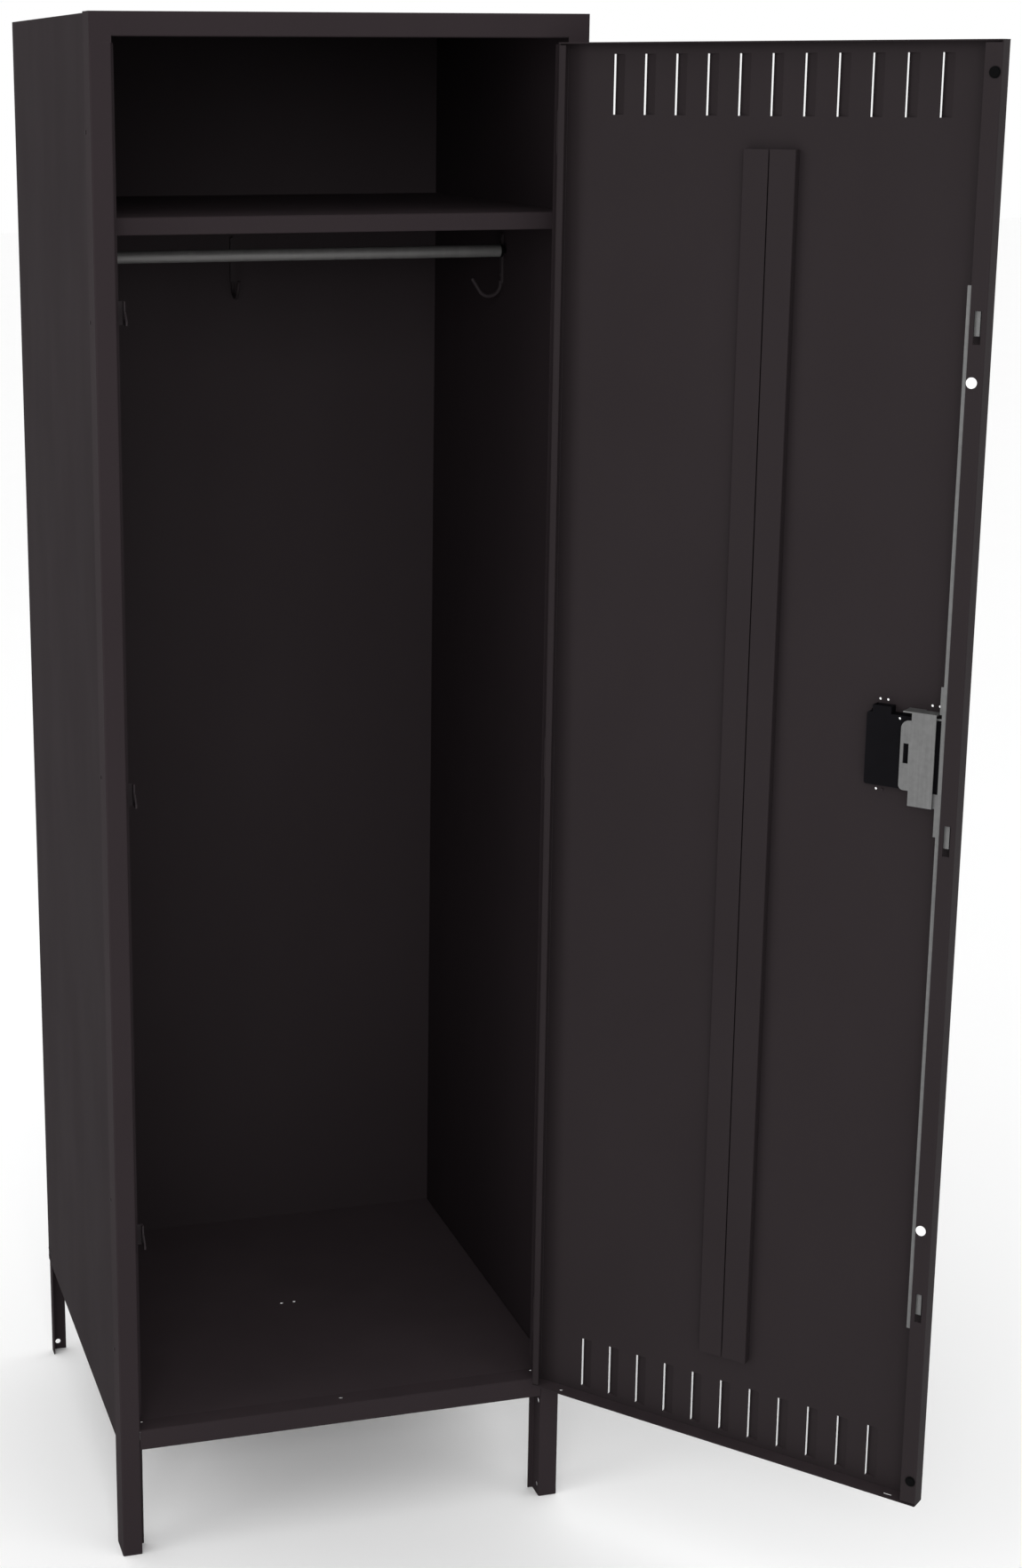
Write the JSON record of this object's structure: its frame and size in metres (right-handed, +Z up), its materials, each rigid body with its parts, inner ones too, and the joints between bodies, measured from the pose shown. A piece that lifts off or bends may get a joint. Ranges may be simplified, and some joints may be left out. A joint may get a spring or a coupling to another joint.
{
  "type": "school locker",
  "caption": "Single tier steel school locker with a louvred hinged door, hat shelf, coat rod, coat hooks and a lift-handle lock bar.",
  "frame": {"origin": "on the floor, under the middle of the cabinet's footprint", "axes": "+X to the cabinet's right as seen from the front, +Y to the back, +Z up; rest pose has the door open 130.2 degrees"},
  "size_m": [0.9363, 1.053, 1.9812],
  "materials": {
    "frame_paint": "satin",
    "panel_paint": "satin",
    "door_paint": "satin",
    "rod_metal": "satin",
    "hook_metal": "satin",
    "fastener_paint": "satin",
    "hinge_metal": "satin",
    "cup_plastic": "satin",
    "screw_steel": "satin",
    "lock_steel": "matt zinc",
    "bumper_rubber": "matt",
    "guide_nylon": "satin"
  },
  "bodies": {
    "cabinet": {"left_upright": "frame_paint", "right_upright": "frame_paint", "front_left_leg": "frame_paint", "front_right_leg": "frame_paint", "header": "frame_paint", "sill": "frame_paint", "left_side_panel": "panel_paint", "right_side_panel": "panel_paint", "back_panel": "panel_paint", "top_panel": "panel_paint", "bottom_panel": "panel_paint", "rear_left_leg": "frame_paint", "rear_right_leg": "frame_paint", "hat_shelf": "panel_paint", "coat_rod": "rod_metal", "rod_sockets": "bumper_rubber", "back_hook": "hook_metal", "left_hook": "hook_metal", "right_hook": "hook_metal", "hook_bolts": "fastener_paint", "panel_rivets": "fastener_paint", "leg_rivets": "fastener_paint", "shelf_bolts": "fastener_paint", "frame_hook_top": "hook_metal", "frame_hook_middle": "hook_metal", "frame_hook_bottom": "hook_metal", "hinge_frame_leaf_top": "hinge_metal", "hinge_frame_leaf_middle": "hinge_metal", "hinge_frame_leaf_bottom": "hinge_metal", "hinge_pins": "hinge_metal"},
    "door": {"door_pan": "door_paint", "door_stiffener": "door_paint", "hinge_door_leaf_top": "hinge_metal", "hinge_door_leaf_middle": "hinge_metal", "hinge_door_leaf_bottom": "hinge_metal", "hinge_rivets": "fastener_paint", "handle_cup": "cup_plastic", "cup_screw": "screw_steel", "padlock_eye": "lock_steel", "door_bumpers": "bumper_rubber", "lock_bar_guides": "guide_nylon"},
    "lock_bar_assembly": {"lock_bar": "lock_steel", "lift_plate": "lock_steel", "lift_handle": "lock_steel", "lift_rivets": "screw_steel"}
  },
  "joints": [
    {"name": "door_hinge", "type": "hinge", "parent": "cabinet", "child": "door", "pos_m": [0.27715, -0.3083, 0], "axis": [0, 0, 1], "range_deg": [-130.2, 44.8]},
    {"name": "lock_bar_lift", "type": "slide", "parent": "door", "child": "lock_bar_assembly", "axis": [0, 0, 1], "range_m": [0, 0.012]}
  ]
}
